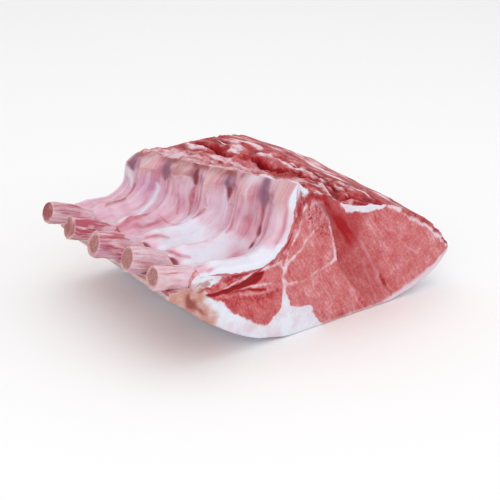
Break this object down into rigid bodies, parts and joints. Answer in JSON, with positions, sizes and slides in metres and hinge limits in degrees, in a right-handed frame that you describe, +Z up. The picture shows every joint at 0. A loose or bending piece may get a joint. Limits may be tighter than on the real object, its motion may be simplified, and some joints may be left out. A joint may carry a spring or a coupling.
{
  "type": "raw frenched pork rack",
  "caption": "Raw rack of pork lying on its fat, with the hollow of the chest upwards and the tips of its rib bones bared along one edge.",
  "frame": {"origin": "on the table, on the flat of the fat, under the middle of the rack", "axes": "+X from the rib tips to the back, +Y along the spine from the near cut face at the shoulder end, +Z up"},
  "size_m": [0.2024, 0.14, 0.088],
  "materials": {
    "meat": "moist raw muscle, cut across and along the grain",
    "fat": "firm cold fat, satin",
    "lining": "wet membrane, glossy",
    "bone": "scraped bone with traces of meat, satin"
  },
  "bodies": {
    "root": {"loin_meat": "meat", "fat_cap": "fat", "chest_lining": "lining", "rib_bone_1": "bone", "rib_bone_2": "bone", "rib_bone_3": "bone", "rib_bone_4": "bone", "rib_bone_5": "bone"}
  },
  "joints": []
}
